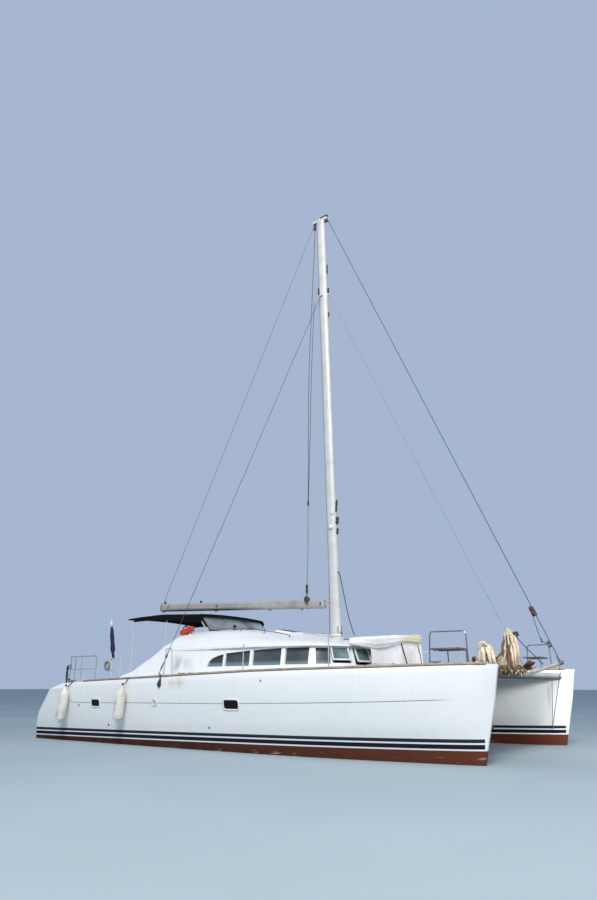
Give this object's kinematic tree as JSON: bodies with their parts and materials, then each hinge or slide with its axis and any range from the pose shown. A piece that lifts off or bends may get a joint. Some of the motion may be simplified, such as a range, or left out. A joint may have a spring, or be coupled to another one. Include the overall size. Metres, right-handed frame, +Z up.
{
  "type": "sailing catamaran",
  "caption": "Cruising sailing catamaran with rounded coachroof, bare boom, dropped headsail, cockpit canopy and stern steps.",
  "frame": {"origin": "on the waterline, on the centre plane between the hulls, about midships", "axes": "+X towards the bows, +Y to port, +Z up"},
  "size_m": [12.8304, 7.366, 16.48],
  "materials": {
    "gelcoat": "weathered gloss white laminate with navy stripes",
    "antifouling": "flat red-brown bottom paint",
    "black_casting": "painted casting",
    "bronze": "dull",
    "dark_glass": "smoked",
    "white_canvas": "stained woven cloth",
    "teak": "oiled",
    "stainless": "dull polish",
    "black_canvas": "matt woven cloth",
    "grey_screen": "hazed clear sheet",
    "cream_alloy": "weathered cream paint",
    "black_rope": "braided rope",
    "grey_alloy": "dull anodised",
    "net": "knotted net",
    "rusty_iron": "rusted galvanising",
    "sail_cloth": "creased sailcloth",
    "fender_vinyl": "scuffed vinyl",
    "orange_foam": "faded cover",
    "blue_cloth": "furled cloth"
  },
  "bodies": {
    "boat": {"hull_starboard": "gelcoat", "hull_port": "gelcoat", "keel_starboard": "antifouling", "keel_port": "antifouling", "drive_leg_starboard": "black_casting", "drive_leg_port": "black_casting", "bridgedeck": "gelcoat", "coachroof": "gelcoat", "glazing": "dark_glass", "front_pane_outer": "dark_glass", "front_pane_inner": "dark_glass", "saloon_bulkhead": "gelcoat", "settee": "white_canvas", "saloon_table": "teak", "cockpit_bench": "gelcoat", "helm_console": "gelcoat", "bimini_canopy": "black_canvas", "bimini_frame": "stainless", "wind_screen": "grey_screen", "mast": "cream_alloy", "shroud_starboard": "stainless", "shroud_port": "stainless", "crossbeam": "grey_alloy", "bowsprit": "cream_alloy", "forestay_inner": "stainless", "forestay_outer": "stainless", "walkway": "gelcoat", "trampoline_starboard": "net", "trampoline_port": "net", "anchor": "rusty_iron", "headsail_heap": "sail_cloth", "pulpit_starboard": "stainless", "pulpit_port": "stainless", "stern_rail_starboard": "stainless", "stern_rail_port": "stainless", "guard_rail_starboard": "stainless", "guard_rail_port": "stainless", "fender_aft": "fender_vinyl", "fender_forward": "fender_vinyl", "window_cover": "white_canvas", "rolled_awning": "white_canvas", "winch_starboard": "black_casting", "winch_port": "black_casting", "lifebuoy": "orange_foam", "flag_staff": "blue_cloth"},
    "rudder_starboard_body": {"rudder_starboard": "antifouling"},
    "rudder_port_body": {"rudder_port": "antifouling"},
    "propeller_starboard_body": {"propeller_starboard": "bronze"},
    "propeller_port_body": {"propeller_port": "bronze"},
    "steering_wheel_body": {"steering_wheel": "stainless"},
    "boom_body": {"boom": "cream_alloy", "topping_lift": "black_rope"},
    "saloon_door_body": {"saloon_door": "dark_glass"},
    "lid_foredeck_starboard_body": {"lid_foredeck_starboard": "gelcoat"},
    "lid_foredeck_port_body": {"lid_foredeck_port": "gelcoat"},
    "lid_engine_starboard_body": {"lid_engine_starboard": "gelcoat"},
    "lid_engine_port_body": {"lid_engine_port": "gelcoat"},
    "lid_roof_starboard_body": {"lid_roof_starboard": "gelcoat"},
    "lid_roof_port_body": {"lid_roof_port": "gelcoat"}
  },
  "joints": [
    {"name": "rudder_starboard_turn", "type": "hinge", "parent": "boat", "child": "rudder_starboard_body", "pos_m": [-4.82, -2.55, -0.262], "axis": [0, 0, 1], "range_deg": [-35, 35]},
    {"name": "rudder_port_turn", "type": "hinge", "parent": "boat", "child": "rudder_port_body", "pos_m": [-4.82, 2.55, -0.262], "axis": [0, 0, 1], "range_deg": [-35, 35]},
    {"name": "steering_wheel_turn", "type": "hinge", "parent": "boat", "child": "steering_wheel_body", "pos_m": [-2.16, 1.08, 1.72], "axis": [1, 0, 0], "range_deg": [-350, 350]},
    {"name": "propeller_starboard_spin", "type": "hinge", "parent": "boat", "child": "propeller_starboard_body", "pos_m": [-3.96, -2.55, -0.76], "axis": [1, 0, 0], "continuous": true},
    {"name": "propeller_port_spin", "type": "hinge", "parent": "boat", "child": "propeller_port_body", "pos_m": [-3.96, 2.55, -0.76], "axis": [1, 0, 0], "continuous": true},
    {"name": "boom_swing", "type": "hinge", "parent": "boat", "child": "boom_body", "pos_m": [1.18764, 0, 3.29], "axis": [-0.0233, 0, 0.9997], "range_deg": [-50, 50]},
    {"name": "saloon_door_slide", "type": "slide", "parent": "boat", "child": "saloon_door_body", "axis": [0, -1, 0], "range_m": [0, 0.7]},
    {"name": "lid_foredeck_starboard_open", "type": "hinge", "parent": "boat", "child": "lid_foredeck_starboard_body", "pos_m": [4.455, -2.55, 1.673], "axis": [0, 1, 0], "range_deg": [0, 85]},
    {"name": "lid_foredeck_port_open", "type": "hinge", "parent": "boat", "child": "lid_foredeck_port_body", "pos_m": [4.455, 2.55, 1.673], "axis": [0, 1, 0], "range_deg": [0, 85]},
    {"name": "lid_engine_starboard_open", "type": "hinge", "parent": "boat", "child": "lid_engine_starboard_body", "pos_m": [-3.845, -2.4, 1.449], "axis": [0, 1, 0], "range_deg": [0, 85]},
    {"name": "lid_engine_port_open", "type": "hinge", "parent": "boat", "child": "lid_engine_port_body", "pos_m": [-3.845, 2.4, 1.449], "axis": [0, 1, 0], "range_deg": [0, 85]},
    {"name": "lid_roof_starboard_open", "type": "hinge", "parent": "boat", "child": "lid_roof_starboard_body", "pos_m": [0.875, -0.9, 2.524], "axis": [0, 1, 0], "range_deg": [0, 85]},
    {"name": "lid_roof_port_open", "type": "hinge", "parent": "boat", "child": "lid_roof_port_body", "pos_m": [0.875, 0.9, 2.524], "axis": [0, 1, 0], "range_deg": [0, 85]}
  ],
  "couplings": [
    {"joint": "rudder_port_turn", "follows": "rudder_starboard_turn", "ratio": 1},
    {"joint": "steering_wheel_turn", "follows": "rudder_starboard_turn", "ratio": 10}
  ]
}
